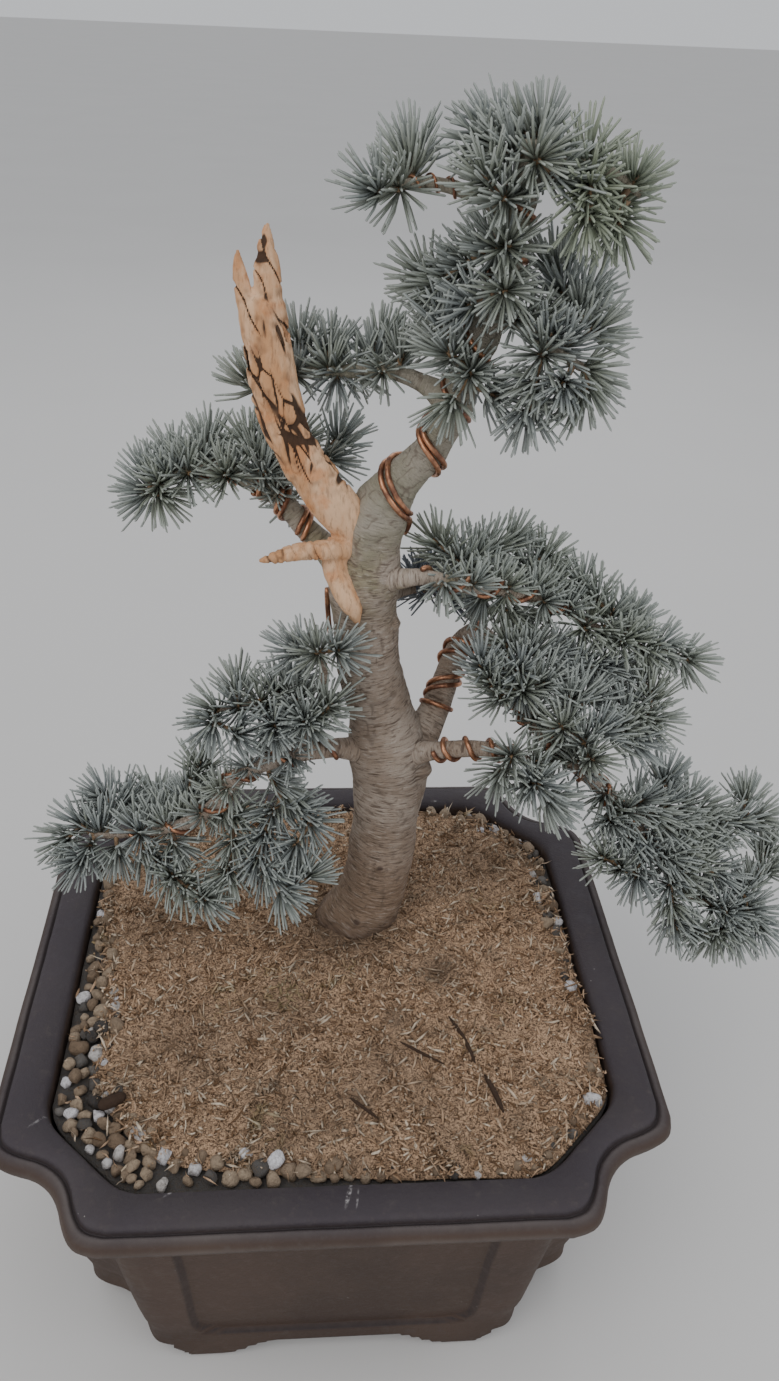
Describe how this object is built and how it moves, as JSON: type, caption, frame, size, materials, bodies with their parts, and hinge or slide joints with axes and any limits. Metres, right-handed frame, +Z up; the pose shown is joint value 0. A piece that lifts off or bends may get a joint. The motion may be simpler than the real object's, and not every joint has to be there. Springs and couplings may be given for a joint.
{
  "type": "blue atlas cedar bonsai",
  "caption": "Blue atlas cedar bonsai with a dead jin, copper training wire and layered needle pads, in a square stoneware pot with indented corners.",
  "frame": {"origin": "on the table, under the middle of the whole plant's outline", "axes": "+Z up the trunk; +X towards the long right-hand branch; -Y faces the viewer of the bonsai's front"},
  "size_m": [0.3907, 0.304, 0.5457],
  "materials": {
    "stoneware": "matte unglazed, dusty",
    "screen_plastic": "matte",
    "copper": "annealed copper wire, dulled",
    "growing_mix": "loose pumice, akadama and grit",
    "moss": "chopped dry moss",
    "bark": "grey-brown bark with fine wrinkles",
    "deadwood": "bare weathered wood with dark cracks",
    "needles": "waxy glaucous needles"
  },
  "bodies": {
    "root": {"branch_apex_left": "bark", "branch_apex_right": "bark", "branch_back": "bark", "branch_left_low": "bark", "branch_left_middle": "bark", "branch_left_top": "bark", "branch_left_twig": "bark", "branch_mid_right": "bark", "branch_right_arching": "bark", "branch_right_far": "bark", "branch_right_lower": "bark", "branch_right_upper": "bark", "branch_upper_left": "bark", "drain_screen": "screen_plastic", "foliage_apex": "needles", "foliage_apex_left": "needles", "foliage_apex_right": "needles", "foliage_back": "needles", "foliage_leader_front": "needles", "foliage_left_low": "needles", "foliage_left_middle": "needles", "foliage_left_top": "needles", "foliage_left_twig": "needles", "foliage_mid_right": "needles", "foliage_right_far": "needles", "foliage_right_lower": "needles", "foliage_right_middle": "needles", "foliage_right_upper": "needles", "foliage_upper_left": "needles", "growing_mix": "growing_mix", "jin": "deadwood", "moss_dressing": "moss", "pot": "stoneware", "screen_staple": "copper", "trunk": "bark", "wire_apex_left": "copper", "wire_leader_a": "copper", "wire_leader_b": "copper", "wire_left_low": "copper", "wire_left_top_a": "copper", "wire_left_top_b": "copper", "wire_right_arching_a": "copper", "wire_right_arching_b": "copper", "wire_right_lower": "copper", "wire_right_upper": "copper", "wire_trunk": "copper"}
  },
  "joints": []
}
